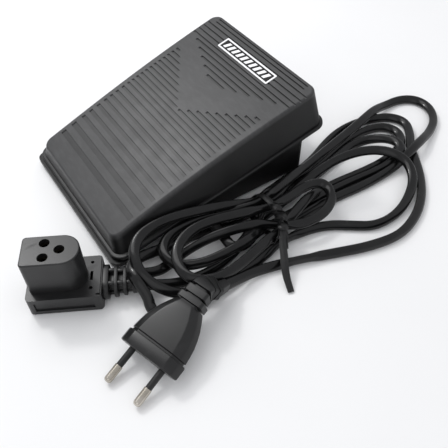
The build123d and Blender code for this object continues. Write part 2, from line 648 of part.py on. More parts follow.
def hank_core():
    """Tied bundle beside the pedal: low and wide at both ends, tight and high at the tie."""
    waist = (TIE_X0, TIE_X1, TIE_Z0, TIE_Z1)
    rows = [  # y, x from, x to, lowest, highest
        (-71.0, 60.0, 94.0, 0.0, 16.6),
        (-58.0, 55.6, 97.5, 0.0, 22.0),
        (-30.0, 55.6, 97.0, 0.0, 22.8),
        (-5.0, 55.6, 93.5, 0.0, 21.0),
        (TIE_Y - 3.0, *waist),
        (TIE_Y + 3.0, *waist),
        (42.0, 57.0, 96.0, 0.0, 18.0),
        (72.0, 55.6, 104.0, 0.0, 13.4),
    ]
    sections = []
    for y, x0, x1, low, top in rows:
        plane = Plane(origin=((x0 + x1) / 2, y, (low + top) / 2), x_dir=(1, 0, 0), z_dir=(0, -1, 0))
        sections.append(plane * RectangleRounded(x1 - x0, top - low, (top - low) * HANK_ROUND))
    return loft(sections, ruled=True)


def hank_fan():
    """Open loops beyond the tie, which spread flat over the floor."""
    outline = [(57.0, 62.0), (47.0, 74.0), (37.0, 90.0), (31.0, 112.0), (30.5, 146.0), (33.0, 166.0),
               (48.0, 175.0), (66.0, 167.0), (78.0, 148.0), (85.0, 118.0), (98.0, 110.0), (109.0, 92.0),
               (111.0, 66.0), (102.0, 50.0), (92.0, 38.0), (62.0, 42.0)]
    plan = make_face(Polyline(*outline, close=True))
    return fillet(extrude(plan, 11.4).edges().group_by(Axis.Z)[-1], 2.0)


def cord_hank():
    """Outer shape of the whole tied hank, with room for what lies in or under it."""
    solid = hank_core() + hank_fan()
    solid -= cord_tube(FLOOR_LOOP, CORD_R + HANK_GAP)
    solid -= block(40.0, 55.4, -80.0, 74.0, -1.0, 40.0)
    solid -= cross_rod(40.0, GLAND_TIP_X, GLAND_Y, GLAND_Z, GLAND_R + HANK_GAP)
    solid -= plug_body(HANK_GAP) + plug_relief(HANK_GAP)
    pocket = block(PLATE_TO - 3, PLATE_TO + RELIEF_L, RELIEF_N - 10.2, RELIEF_N + 10.2, -1.0, RELIEF_Z + 6.0)
    solid -= at_connector(pocket)
    return solid


# ---------------------------------------------------------------- twist tie
def twist_tie():
    """Flat tie round the bundle with a twisted knot on its front and one long loose tail."""
    gap, thick, half_width = 0.2, 0.9, 1.5
    inner_w, inner_h = TIE_X1 - TIE_X0 + 2 * gap, TIE_Z1 - TIE_Z0 + 2 * gap
    plane = Plane(origin=((TIE_X0 + TIE_X1) / 2, TIE_Y, (TIE_Z0 + TIE_Z1) / 2), x_dir=(1, 0, 0), z_dir=(0, -1, 0))
    corner = (TIE_Z1 - TIE_Z0) * HANK_ROUND + gap
    outer = RectangleRounded(inner_w + 2 * thick, inner_h + 2 * thick, corner + thick)
    ring = extrude(plane * (outer - RectangleRounded(inner_w, inner_h, corner)), half_width, both=True)
    knot = Pos(TIE_X1 + 3.3, TIE_Y, 13.0) * Rot(0, 20, 0) * Box(4.6, 4.2, 8.0)
    return ring + knot


# ---------------------------------------------------------------- write the parts
def main():
    pieces = {
        "treadle": treadle(),
        "badge_plate": badge_plate(),
        "badge_frame": badge_frame(),
        "hinge_pin": hinge_pin(),
        "plunger": plunger(),
        "wiper_contact": wiper_contact(),
        "return_spring": return_spring(),
        "base_tray": base_tray(),
        "chassis_cover": chassis_cover(),
        "cover_screws": [pan_screw(x, y, COVER_Z + COVER_T, 1.2, 8.0, 2.9, 1.9) for x, y in COVER_SCREWS],
        "rubber_feet": rubber_feet(),
        "stop_pads": stop_pads(),
        "cord_gland": cord_gland(),
        "circuit_board": circuit_board(),
        "board_screws": [pan_screw(x, y, ON_BOARD, 1.0, 3.9, 1.9, 1.3) for x, y in BOARD_SCREWS],
        "film_capacitor": film_capacitor(),
        "choke_coil": choke_coil(),
        "heatsink": heatsink(),
        "triac": triac(),
        "resistors": resistors(),
        "terminal_block": terminal_block(),
        "track_board": track_board(),
        "cord_clamp": cord_clamp(),
        "clamp_screws": [pan_screw(36.5, GLAND_Y + dy, 11.0, 1.0, 5.0, 2.0, 1.4) for dy in (-7.2, 7.2)],
        "cord_tail": cord_tail(),
        "connector_block": connector_block(),
        "connector_plate": connector_plate(),
        "socket_contacts": socket_contacts(),
        "connector_relief": connector_relief(),
        "plug_collar": plug_collar(),
        "plug_body": plug_body(),
        "plug_pins": plug_pins(),
        "pin_sleeves": pin_sleeves(),
        "plug_relief": plug_relief(),
        "cord_hank": cord_hank(),
        "mains_cord_floor": cord_tube(FLOOR_LOOP, CORD_R),
        "twist_tie": twist_tie(),
    }
    for node, shape in pieces.items():
        save(node, shape)
    print("plunger stroke", round(STROKE, 3), "head", round(HEAD_Z, 2), "tube top", round(TUBE_TOP, 2))


main()
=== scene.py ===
"""Sewing machine foot controller with its tied cord, connector and plug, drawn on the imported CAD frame.

Everything is in metres, in the part's frame: +Z is up, +Y goes from the heel to the toe, and +X to the
right of the foot.
"""

import bmesh
import bpy
from math import atan2, copysign, cos, hypot, pi, radians, remainder, sin
from mathutils import Matrix, Vector
from mathutils.geometry import convex_hull_2d


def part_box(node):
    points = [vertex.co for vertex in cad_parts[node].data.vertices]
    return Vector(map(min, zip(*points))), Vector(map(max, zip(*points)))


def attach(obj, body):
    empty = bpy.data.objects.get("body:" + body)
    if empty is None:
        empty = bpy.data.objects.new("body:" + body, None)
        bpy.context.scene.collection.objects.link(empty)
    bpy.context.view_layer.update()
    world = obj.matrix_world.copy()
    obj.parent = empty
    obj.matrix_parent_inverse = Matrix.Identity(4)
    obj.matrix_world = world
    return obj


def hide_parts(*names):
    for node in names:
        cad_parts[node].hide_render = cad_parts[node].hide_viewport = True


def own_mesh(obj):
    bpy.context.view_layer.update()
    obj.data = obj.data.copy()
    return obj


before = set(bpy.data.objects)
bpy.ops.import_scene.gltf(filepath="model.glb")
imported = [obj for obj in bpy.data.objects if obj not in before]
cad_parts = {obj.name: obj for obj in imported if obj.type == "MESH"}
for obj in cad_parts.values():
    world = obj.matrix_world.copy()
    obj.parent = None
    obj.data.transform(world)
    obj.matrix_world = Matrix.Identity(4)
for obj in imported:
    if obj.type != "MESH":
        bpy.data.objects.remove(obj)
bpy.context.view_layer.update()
MM = 0.001
UP = Vector((0.0, 0.0, 1.0))


# ---------------------------------------------------------------- camera
VIEW_AZIMUTH, VIEW_ELEVATION, VIEW_ROLL = radians(55.96), radians(49.12), radians(-0.28)
VIEW_TARGET, VIEW_DISTANCE = Vector((0.05706, -0.00328, 0.0)), 0.32292
LENS, SENSOR = 45.17, 36.0


def add_camera():
    """Camera at its distance from the target, seen from the azimuth and elevation."""
    a, e, r = VIEW_AZIMUTH, VIEW_ELEVATION, VIEW_ROLL
    back = Vector((sin(a) * cos(e), -cos(a) * cos(e), sin(e)))
    right = Vector((cos(a), sin(a), 0.0))
    top = back.cross(right)
    axes = Matrix((right * cos(r) + top * sin(r), top * cos(r) - right * sin(r), back)).transposed()
    data = bpy.data.cameras.new("camera")
    data.lens, data.sensor_width = LENS, SENSOR
    data.clip_start, data.clip_end = 0.01, 20.0
    camera = bpy.data.objects.new("camera", data)
    camera.matrix_world = Matrix.Translation(VIEW_TARGET + back * VIEW_DISTANCE) @ axes.to_4x4()
    bpy.context.collection.objects.link(camera)
    bpy.context.scene.camera = camera


# ---------------------------------------------------------------- mesh helpers
def shell_faces(first, rings, loop):
    """Faces over the rings, whose points start at index first, and each face's (round, along) marks."""
    faces, marks, n, count = [], [], len(rings[0]), len(rings)
    for i in range(count if loop else count - 1):
        a, b = first + i * n, first + (i + 1) % count * n
        for j in range(n):
            k = (j + 1) % n
            faces.append((a + j, a + k, b + k, b + j))
            marks.append([(j / n, i), ((j + 1) / n, i), ((j + 1) / n, i + 1), (j / n, i + 1)])
    if not loop:
        for start, turn in ((first, -1), (first + (count - 1) * n, 1)):
            faces.append(tuple(start + j for j in range(n))[::turn])
            marks.append([(j / n, 0.0) for j in range(n)][::turn])
    return faces, marks


def skin(name, shells, crease=38.0):
    """Object over shells; a shell is (rings of points, whether the rings close into a loop)."""
    verts, faces, marks = [], [], []
    for rings, loop in shells:
        more_faces, more_marks = shell_faces(len(verts), rings, loop)
        verts += [p for ring in rings for p in ring]
        faces += more_faces
        marks += more_marks
    mesh = bpy.data.meshes.new(name)
    mesh.from_pydata(verts, [], faces)
    layer = mesh.uv_layers.new(name="along")
    for face, mark in zip(mesh.polygons, marks):
        for corner, place in zip(face.loop_indices, mark):
            layer.data[corner].uv = place
    work = bmesh.new()
    work.from_mesh(mesh)
    bmesh.ops.recalc_face_normals(work, faces=work.faces)
    work.to_mesh(mesh)
    work.free()
    mesh.shade_smooth()
    mesh.set_sharp_from_angle(angle=radians(crease))
    obj = bpy.data.objects.new(name, mesh)
    bpy.context.collection.objects.link(obj)
    return obj


def line_through(points, steps=8):
    """Points along the smooth NURBS line that has these control points."""
    curve = bpy.data.curves.new("line", "CURVE")
    curve.dimensions = "3D"
    spline = curve.splines.new("NURBS")
    spline.points.add(len(points) - 1)
    for knot, place in zip(spline.points, points):
        knot.co = (*place, 1.0)
    spline.order_u = 3
    spline.use_endpoint_u = True
    spline.resolution_u = steps
    holder = bpy.data.objects.new("line", curve)
    bpy.context.collection.objects.link(holder)
    mesh = bpy.data.meshes.new_from_object(holder)
    line = [v.co.copy() for v in mesh.vertices]
    bpy.data.objects.remove(holder)
    bpy.data.curves.remove(curve)
    bpy.data.meshes.remove(mesh)
    return line


def line_frames(line):
    """(tangent, sideways, upward) at each point of a line, with upward as near to vertical as can be."""
    frames = []
    for i in range(len(line)):
        tangent = (line[min(i + 1, len(line) - 1)] - line[max(i - 1, 0)]).normalized()
        side = tangent.cross(UP).normalized()
        frames.append((tangent, side, side.cross(tangent)))
    return frames


def rounded(half_a, half_b, radius, arc=5):
    """Outline of a rectangle with round corners, as (a, b) pairs."""
    points = []
    for quarter, (sa, sb) in enumerate(((1, 1), (-1, 1), (-1, -1), (1, -1))):
        for i in range(arc + 1):
            t = pi / 2 * (quarter + i / arc)
            centre_a, centre_b = sa * (half_a - radius), sb * (half_b - radius)
            points.append((centre_a + radius * cos(t), centre_b + radius * sin(t)))
    return points


def smooth_step(x):
    """0 below 0, 1 above 1, and a smooth rise between."""
    x = min(max(x, 0.0), 1.0)
    return x * x * (3 - 2 * x)


# ---------------------------------------------------------------- free cords
CORD_THICK, CORD_WIDE = 3.3 * MM, 5.8 * MM
CORD_FULLNESS = 2.15               # 2 gives an ellipse, more gives flatter faces
CORD_LEAN = radians(5.0)
LEAN_WAVES = ((0.6, 31.0 * MM, 0.0), (0.4, 12.7 * MM, 1.0))   # share, length per radian, start
TWIST_FROM, TWIST_TO = radians(30.0), radians(150.0)   # range of the twist outside the tie
TIE_CALM, TIE_EASE = 4.0 * MM, 8.0 * MM   # upright this near to the tie, then easing into the twist

# Control points of the pedal cord, from the pedal's gland to the connector.
PEDAL_ROUTE = [
    # leaves the gland, turns back to the tie
    (0.0685, -0.012, 0.0072), (0.0726, -0.0123, 0.0072), (0.0773, -0.0122, 0.0068),
    (0.0804, -0.008, 0.006), (0.079, -0.0002, 0.0058), (0.074, 0.0075, 0.0076),
    (0.0685, 0.016, 0.0102),
    # inner toe loop
    (0.0625, 0.03, 0.009), (0.0566, 0.045, 0.0065), (0.055, 0.06, 0.0034), (0.0515, 0.075, 0.003),
    (0.0475, 0.09, 0.003), (0.0446, 0.105, 0.003), (0.0442, 0.119, 0.003), (0.048, 0.1315, 0.003),
    (0.057, 0.1355, 0.003), (0.066, 0.1305, 0.003), (0.0712, 0.119, 0.003), (0.073, 0.104, 0.003),
    (0.0723, 0.088, 0.003), (0.0705, 0.072, 0.003), (0.0705, 0.058, 0.0038), (0.0735, 0.045, 0.0084),
    (0.079, 0.03, 0.0096), (0.0845, 0.015, 0.0096),
    # front heel loop
    (0.0885, 0.0, 0.011), (0.0925, -0.015, 0.0114), (0.094, -0.029, 0.0114), (0.0905, -0.04, 0.0118),
    (0.0825, -0.0455, 0.0128), (0.0735, -0.0445, 0.0142), (0.0662, -0.0385, 0.0156),
    (0.0622, -0.0285, 0.0162), (0.0628, -0.0165, 0.0165), (0.0665, -0.003, 0.0165),
    (0.0725, 0.015, 0.016),
    # small loop close to the tie
    (0.0725, 0.028, 0.0148), (0.0695, 0.042, 0.0138), (0.0705, 0.054, 0.0128),
    (0.0765, 0.0568, 0.012), (0.0846, 0.0528, 0.0112), (0.0898, 0.0426, 0.0108),
    (0.0902, 0.03, 0.0112), (0.0865, 0.0215, 0.0106), (0.08, 0.014, 0.0104),
    # down to the connector
    (0.0752, 0.004, 0.0126), (0.0718, -0.009, 0.0126), (0.0676, -0.021, 0.0098),
    (0.065, -0.034, 0.0052), (0.067, -0.045, 0.0044), (0.069, -0.0535, 0.0056),
    (0.0654, -0.0611, 0.0064),
]

# Control points of the mains cord, from the connector to the plug.
MAINS_ROUTE = [
    # leaves the connector
    (0.0717, -0.0645, 0.0064), (0.0754, -0.058, 0.0054), (0.0805, -0.0465, 0.0036),
    (0.0828, -0.032, 0.003), (0.081, -0.018, 0.003), (0.0764, -0.005, 0.003), (0.0722, 0.005, 0.0036),
    (0.0695, 0.015, 0.0044),
    # near toe loop
    (0.0665, 0.03, 0.0055), (0.0638, 0.045, 0.0076), (0.061, 0.062, 0.0092), (0.06, 0.08, 0.0102),
    (0.0636, 0.097, 0.0106), (0.072, 0.109, 0.0106), (0.084, 0.1135, 0.0096), (0.096, 0.1085, 0.0066),
    (0.1044, 0.096, 0.0038), (0.1094, 0.081, 0.003), (0.1088, 0.065, 0.003), (0.1008, 0.054, 0.003),
    (0.094, 0.045, 0.003), (0.0895, 0.033, 0.0032), (0.088, 0.015, 0.004),
    # low heel loop, under the plug and over the connector's strain relief
    (0.091, -0.004, 0.0032), (0.0938, -0.022, 0.003), (0.0955, -0.039, 0.003), (0.096, -0.054, 0.003),
    (0.092, -0.065, 0.003), (0.0855, -0.067, 0.0036), (0.0808, -0.0655, 0.0078),
    (0.0742, -0.0668, 0.0128), (0.0665, -0.067, 0.0144), (0.0602, -0.0615, 0.013),
    (0.058, -0.048, 0.008), (0.0568, -0.032, 0.0046), (0.0572, -0.015, 0.0032), (0.06, 0.002, 0.0034),
    (0.063, 0.015, 0.0044),
    # middle toe loop
    (0.0618, 0.03, 0.0034), (0.0605, 0.045, 0.003), (0.0588, 0.06, 0.003), (0.056, 0.075, 0.003),
    (0.0525, 0.09, 0.003), (0.0502, 0.101, 0.003), (0.0528, 0.112, 0.0044), (0.0605, 0.1195, 0.0074),
    (0.069, 0.1225, 0.0084), (0.076, 0.1185, 0.0072), (0.0774, 0.107, 0.0042), (0.0764, 0.094, 0.003),
    (0.0748, 0.08, 0.003), (0.0738, 0.065, 0.003), (0.0742, 0.048, 0.003), (0.075, 0.03, 0.0036),
    (0.0753, 0.015, 0.0044),
    # inner heel loop
    (0.079, 0.004, 0.0096), (0.0825, -0.008, 0.0122), (0.0822, -0.021, 0.0108),
    (0.0795, -0.033, 0.0092), (0.075, -0.0415, 0.0088), (0.0685, -0.0465, 0.0092),
    (0.061, -0.046, 0.0106), (0.0562, -0.039, 0.0122), (0.0562, -0.028, 0.0132),
    (0.0569, -0.016, 0.0132), (0.0614, -0.004, 0.0134), (0.067, 0.015, 0.016),
    # far toe loop
    (0.0625, 0.03, 0.0144), (0.0575, 0.045, 0.0122), (0.0538, 0.06, 0.009), (0.05, 0.075, 0.0084),
    (0.0465, 0.09, 0.0084), (0.0433, 0.105, 0.0084), (0.0396, 0.12, 0.0086), (0.0354, 0.134, 0.0074),
    (0.0326, 0.148, 0.0032), (0.033, 0.161, 0.003), (0.0395, 0.171, 0.003), (0.051, 0.1725, 0.003),
    (0.0625, 0.165, 0.003), (0.07, 0.1515, 0.0036), (0.075, 0.137, 0.0072), (0.0785, 0.124, 0.008),
    (0.0806, 0.111, 0.0042), (0.0814, 0.097, 0.003), (0.0812, 0.08, 0.003), (0.0793, 0.062, 0.003),
    (0.0787, 0.045, 0.003), (0.0793, 0.03, 0.0034), (0.081, 0.015, 0.0044),
    # outer heel loop
    (0.085, 0.0, 0.0036), (0.0885, -0.016, 0.0032), (0.0908, -0.032, 0.0034),
    (0.0905, -0.0445, 0.0044), (0.0865, -0.0535, 0.0074), (0.0795, -0.06, 0.0106),
    (0.0705, -0.0635, 0.0144), (0.061, -0.062, 0.0184), (0.0538, -0.055, 0.02),
    (0.0514, -0.044, 0.0204), (0.0524, -0.031, 0.0202), (0.056, -0.017, 0.0196),
    (0.0596, -0.003, 0.018), (0.0616, 0.006, 0.015), (0.0616, 0.015, 0.0124),
    # leftmost toe strand, then the open stretch on the floor to the plug
    (0.058, 0.03, 0.0094), (0.053, 0.045, 0.006), (0.05, 0.06, 0.0038), (0.0456, 0.074, 0.003),
    (0.0396, 0.088, 0.003), (0.0356, 0.102, 0.003), (0.0348, 0.116, 0.003), (0.0378, 0.1305, 0.003),
    (0.0435, 0.1425, 0.003), (0.0535, 0.147, 0.003), (0.064, 0.14, 0.003), (0.073, 0.1305, 0.003),
    (0.084, 0.124, 0.003), (0.0965, 0.115, 0.003), (0.108, 0.1035, 0.003), (0.1166, 0.0895, 0.003),
    (0.1216, 0.072, 0.003), (0.1178, 0.052, 0.003), (0.11, 0.032, 0.003), (0.1025, 0.013, 0.003),
    (0.0972, -0.004, 0.003), (0.096, -0.018, 0.005), (0.0982, -0.03, 0.0094),
]


def cord_section(count=28):
    """Outline of the flat twin cord: an oval with slightly flattened faces."""
    points, power = [], 2 / CORD_FULLNESS
    for i in range(count):
        t = 2 * pi * i / count
        across, along = abs(cos(t)) ** power * CORD_THICK / 2, abs(sin(t)) ** power * CORD_WIDE / 2
        points.append((copysign(across, cos(t)), copysign(along, sin(t))))
    return points


def twist_at(point, outward):
    """Twist of the cord, from the way that the outside of its loop faces.

    The cord is wound clockwise. It turns over in each toe loop and back again in each heel loop,
    and stands upright inside the tie.
    """
    faces = remainder(outward, 2 * pi)
    share = abs(faces) / pi
    share = 1 - (1 - share) ** 2 if faces > 0 else share ** 2
    twist = TWIST_FROM + (TWIST_TO - TWIST_FROM) * share
    upright = pi * round(twist / pi)
    return upright + (twist - upright) * smooth_step((abs(point.y - TIE_Y) - TIE_CALM) / TIE_EASE)


def flat_cord(name, line):
    """Flat cord along a line: it turns over in the loops, and leans a little this way and that."""
    section = cord_section()
    rings, run = [], 0.0
    for i, (point, (tangent, side, top)) in enumerate(zip(line, line_frames(line))):
        run += (point - line[i - 1]).length if i else 0.0
        outward = atan2(tangent.y, tangent.x) + pi / 2
        wave = sum(share * sin(run / reach + start) for share, reach, start in LEAN_WAVES)
        lean = CORD_LEAN * wave - twist_at(point, outward)
        a, b = side * cos(lean) + top * sin(lean), top * cos(lean) - side * sin(lean)
        rings.append([point + a * u + b * v for u, v in section])
    return skin(name, [(rings, False)])


# ---------------------------------------------------------------- twist tie
TIE_Y = 15.0 * MM
TIE_SLANT, TIE_TILT = 0.05, 0.22   # how far the ring leans over, per width and per height
TIE_HALF_W, TIE_FILM, TIE_WIRE = 1.75 * MM, 0.16 * MM, 0.42 * MM
TIE_GAP = 0.5 * MM                 # from the strands to the ring
RING_POINTS = 96
RING_WAVER, WAVERS = 0.3 * MM, 3   # the ring isn't quite straight
TWIST_TURNS, TWIST_OFFSET, TWIST_START = 1.5, 1.2 * MM, 0.4


def tie_section(half_width):
    """Outline of the tie: thin film on both sides of a wire."""
    side = [(1.0, 0.5), (0.62, 1.0), (0.3, 1.0)]
    top = [(half_width * a, TIE_FILM * b) for a, b in side]
    top += [(0.42 * MM, TIE_WIRE * 0.55), (0.2 * MM, TIE_WIRE * 0.92), (0.0, TIE_WIRE)]
    top += [(-a, b) for a, b in top[-2::-1]]
    return top + [(a, -b) for a, b in top[::-1]]


def ribbon_rings(line, frames, half_widths, turns=0.0, phase=0.0, offset=0.0):
    """Rings of a tie along a line; with turns it winds round the line at the offset."""
    rings = []
    last = len(line) - 1
    for i, (point, (_, side, top)) in enumerate(zip(line, frames)):
        t = i / last
        angle = phase + 2 * pi * turns * t
        a, b = side * cos(angle) + top * sin(angle), top * cos(angle) - side * sin(angle)
        place = t * (len(half_widths) - 1)
        k = min(int(place), len(half_widths) - 2)
        half_width = half_widths[k] + (half_widths[k + 1] - half_widths[k]) * (place - k)
        rings.append([point + b * offset + a * u + b * v for u, v in tie_section(half_width)])
    return rings


def bundle_outline(lines):
    """Outline, in the tie's plane, of all the strands that the tie holds, as (x, z) pairs."""
    corners = []
    tie_low, tie_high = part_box("twist_tie")
    half_a, half_b = CORD_THICK / 2 + TIE_GAP, CORD_WIDE / 2 + TIE_GAP
    for line in lines:
        for a, b in zip(line, line[1:]):
            if (a.y - TIE_Y) * (b.y - TIE_Y) < 0:
                middle = a.lerp(b, (TIE_Y - a.y) / (b.y - a.y))
                if not tie_low.x < middle.x < tie_high.x:
                    continue
                for i in range(16):
                    t = 2 * pi * i / 16
                    corners.append(Vector((middle.x + half_a * cos(t), middle.z + half_b * sin(t))))
    return [corners[i] for i in convex_hull_2d(corners)]


def even_loop(corners, count):
    """The same number of points, evenly spaced, round a closed outline, then softened."""
    spans = [(b - a).length for a, b in zip(corners, corners[1:] + corners[:1])]
    total, points = sum(spans), []
    for i in range(count):
        left, k = total * i / count, 0
        while left > spans[k]:
            left -= spans[k]
            k += 1
        points.append(corners[k].lerp(corners[(k + 1) % len(corners)], left / spans[k]))
    for _ in range(3):
        points = [(points[i - 1] + points[i] * 2 + points[(i + 1) % count]) / 4 for i in range(count)]
    return points


def tie_ring(lines):
    """Band of the tie, drawn tight round the strands."""
    outline = even_loop(bundle_outline(lines), RING_POINTS)
    middle = sum(outline, Vector((0.0, 0.0))) / RING_POINTS
    rings = []
    for i, p in enumerate(outline):
        along = (outline[(i + 1) % RING_POINTS] - outline[i - 1]).normalized()
        out = Vector((along.y, 0.0, -along.x))
        lean = TIE_SLANT * (p.x - middle.x) + TIE_TILT * (p.y - middle.y)
        waver = RING_WAVER * sin(2 * pi * WAVERS * i / RING_POINTS)
        centre = Vector((p.x, TIE_Y + lean + waver, p.y))
        axis = Vector((0.0, 1.0, 0.0))
        rings.append([centre + axis * u + out * v for u, v in tie_section(TIE_HALF_W)])
    return skin("tie_ring", [(rings, True)])


# Control points and half widths of the tie's twist and of its three ends.
TWIST_ROUTE = [(0.0744, 0.0172, 0.0196), (0.0770, 0.0160, 0.0208), (0.0806, 0.0156, 0.0202),
               (0.0840, 0.0154, 0.0186), (0.0868, 0.0147, 0.0168), (0.0892, 0.0134, 0.0148)]
LONG_TAIL = [(0.0880, 0.0140, 0.0152), (0.0908, 0.0118, 0.0130), (0.0948, 0.0089, 0.0108),
             (0.0996, 0.0062, 0.0090), (0.1040, 0.0032, 0.0072), (0.1090, 0.0008, 0.0044),
             (0.1126, -0.0002, 0.0022), (0.1160, -0.0013, 0.0009)]
SHORT_TAIL = [(0.0872, 0.0154, 0.0126), (0.0905, 0.0145, 0.0112), (0.0938, 0.0128, 0.0101),
              (0.0970, 0.0106, 0.0090)]
LOOSE_END = [(0.0862, 0.0142, 0.0132), (0.0878, 0.0120, 0.0112), (0.0892, 0.0096, 0.0094),
             (0.0892, 0.0076, 0.0074)]
TWIST_HALF_WIDTHS = [1.6 * MM, 3.0 * MM, 3.3 * MM, 3.0 * MM, 2.4 * MM]
LONG_HALF_WIDTHS = [1.5 * MM, 2.0 * MM, 2.15 * MM, 2.0 * MM, 1.7 * MM]
SHORT_HALF_WIDTHS = [1.3 * MM, 1.5 * MM, 1.2 * MM, 0.7 * MM]
LOOSE_HALF_WIDTHS = [1.4 * MM, 1.5 * MM, 1.1 * MM]


def tie_twist():
    """The tie's two ends wound round each other."""
    line = line_through(TWIST_ROUTE, 10)
    frames = line_frames(line)
    shells = []
    for phase in (TWIST_START, TWIST_START + pi):
        rings = ribbon_rings(line, frames, TWIST_HALF_WIDTHS, TWIST_TURNS, phase, TWIST_OFFSET)
        shells.append((rings, False))
    return skin("tie_twist", shells)


def tie_tail(name, route, half_widths, turns=0.0, phase=0.0):
    """One free end of the tie."""
    line = line_through(route, 10)
    return skin(name, [(ribbon_rings(line, line_frames(line), half_widths, turns, phase), False)])


# ---------------------------------------------------------------- strain reliefs and plug
CONNECTOR_AT, CONNECTOR_TURN = Vector((0.0499, -0.1142, 0.0)), radians(61.0)
RELIEF_FROM, RELIEF_TO = 35.0 * MM, 54.0 * MM
RELIEF_N, RELIEF_Z = 8.6 * MM, 6.4 * MM   # its middle, across the connector and above the floor
RELIEF_WIDE, RELIEF_HIGH = (9.6 * MM, 7.4 * MM), (5.6 * MM, 4.4 * MM)   # half sizes at its two ends
FIRST_RING, RING_THICK, RING_PITCH, RINGS = 3.0 * MM, 1.9 * MM, 4.6 * MM, 3
BRIDGE_SIDE, BRIDGE_DROP = 0.42, 1.6 * MM   # bridges: share of the half width, distance below the edge
BRIDGE_HALF_N, BRIDGE_HALF_Z, BRIDGE_BITE, BRIDGE_SOFT = 1.0 * MM, 1.1 * MM, 0.4 * MM, 0.2 * MM
CORE_INSET_N, CORE_INSET_Z = 3.6 * MM, 2.6 * MM


def at_connector(u, n, z):
    """Point from its place along the connector, across it and above the floor."""
    turn = Matrix.Rotation(CONNECTOR_TURN, 3, "Z")
    return CONNECTOR_AT + turn @ Vector((u, n, 0.0)) + UP * z


def relief_slab(u0, u1, half_n, half_z, soft=0.35 * MM, middle=RELIEF_N, level=RELIEF_Z):
    """Rounded slab across the strain relief, with soft edges on both faces."""
    rings = []
    for u, inset in ((u0, soft), (u0 + soft * 0.3, soft * 0.3), (u0 + soft, 0.0),
                     (u1 - soft, 0.0), (u1 - soft * 0.3, soft * 0.3), (u1, soft)):
        outline = rounded(half_n - inset, half_z - inset, min(half_n, half_z) - inset - 0.25 * MM)
        rings.append([at_connector(u, middle + a, level + b) for a, b in outline])
    return rings, False


def relief_size(share):
    """Half width and half height of the strain relief, from its connector end to its cord end."""
    return (RELIEF_WIDE[0] + (RELIEF_WIDE[1] - RELIEF_WIDE[0]) * share,
            RELIEF_HIGH[0] + (RELIEF_HIGH[1] - RELIEF_HIGH[0]) * share)


def relief_bridges(u0, u1, half_n, half_z):
    """Four square bridges from one ring to the next, two above and two below."""
    shells = []
    for across in (-BRIDGE_SIDE, BRIDGE_SIDE):
        for side in (-1, 1):
            middle = RELIEF_N + across * half_n
            level = RELIEF_Z + side * (half_z - BRIDGE_DROP)
            shells.append(relief_slab(u0 - BRIDGE_BITE, u1 + BRIDGE_BITE, BRIDGE_HALF_N, BRIDGE_HALF_Z,
                                      BRIDGE_SOFT, middle, level))
    return shells


def connector_grommet():
    """Strain relief of the connector: rings on a slim core, joined by two rows of square bridges."""
    starts, ends = [RELIEF_FROM], [RELIEF_FROM + FIRST_RING]
    for i in range(RINGS):
        starts.append(RELIEF_FROM + FIRST_RING + RING_PITCH * (i + 1) - RING_THICK)
        ends.append(starts[-1] + RING_THICK)
    core_n, core_z = relief_size(0.5)
    shells = [relief_slab(RELIEF_FROM - 1.0 * MM, RELIEF_TO,
                          core_n - CORE_INSET_N, core_z - CORE_INSET_Z)]
    for i, (u0, u1) in enumerate(zip(starts, ends)):
        half_n, half_z = relief_size(i / RINGS)
        shells.append(relief_slab(u0, u1, half_n, half_z))
        if i < RINGS:
            shells += relief_bridges(u1, starts[i + 1], half_n, half_z)
    return skin("connector_grommet", shells)


PLUG_AT, PLUG_TURN, PLUG_TILT = Vector((0.1106, -0.0824, 0.0073)), radians(107.5), radians(14.5)
PLUG_TAIL = 30.0 * MM              # from the plug's face back to where its strain relief starts
# Along the plug from its face: place, half width and half height, in mm.
PLUG_ROWS = [
    # collar, then the groove behind it
    (0.0, 16.9, 6.3), (0.3, 17.3, 6.7), (0.7, 17.5, 6.85), (6.3, 17.5, 6.85), (6.7, 17.3, 6.7),
    (6.9, 16.9, 6.3), (7.0, 16.0, 5.5), (7.9, 15.9, 5.5),
    # body
    (8.0, 16.2, 6.0), (8.4, 16.6, 6.35), (12.0, 16.2, 6.35), (16.0, 15.5, 6.25), (20.0, 14.3, 6.1),
    (24.0, 12.7, 5.9), (28.0, 10.5, 5.7), (30.4, 9.0, 5.5), (31.2, 8.4, 5.1),
]
# Blocks of the plug's strain relief: start and end along it, half width and half height, in mm.
SLEEVE_BLOCKS = [
    (2.2, 5.4, 7.4, 4.9), (6.4, 9.8, 6.3, 4.6), (10.8, 14.0, 5.7, 4.3), (15.0, 18.0, 5.1, 4.0),
    (19.0, 21.4, 4.5, 3.7),
]
SLEEVE_CORE = (0.66, 0.74)         # size of the core in the slots, as shares of the blocks
SLEEVE_EDGE = 0.15                 # softness of the blocks' edges, in mm
NECK_SMALL, NECK_GROWTH = (2.3, 3.0), (0.8, 0.2)   # half sizes after the last block, in mm
PLUG_SOFT, PLUG_CREASE = 0.55 * MM, 24.0   # corner radius of the section, angle of a sharp edge


def plug_axes():
    """Directions of the plug: back along it, to its left and out of its flat side."""
    turn = Matrix.Rotation(PLUG_TURN, 3, "Z") @ Matrix.Rotation(-PLUG_TILT, 3, "Y")
    return turn.col[0].copy(), turn.col[1].copy(), turn.col[2].copy()


def soft_outline(corners, radius, arc=4):
    """Closed outline through corners, each rounded off over the radius."""
    points = []
    for i, corner in enumerate(corners):
        before, after = corners[i - 1] - corner, corners[(i + 1) % len(corners)] - corner
        first, last = corner + before.normalized() * radius, corner + after.normalized() * radius
        for k in range(arc):
            t = k / (arc - 1)
            points.append(first * (1 - t) ** 2 + corner * (2 * t * (1 - t)) + last * t * t)
    return points


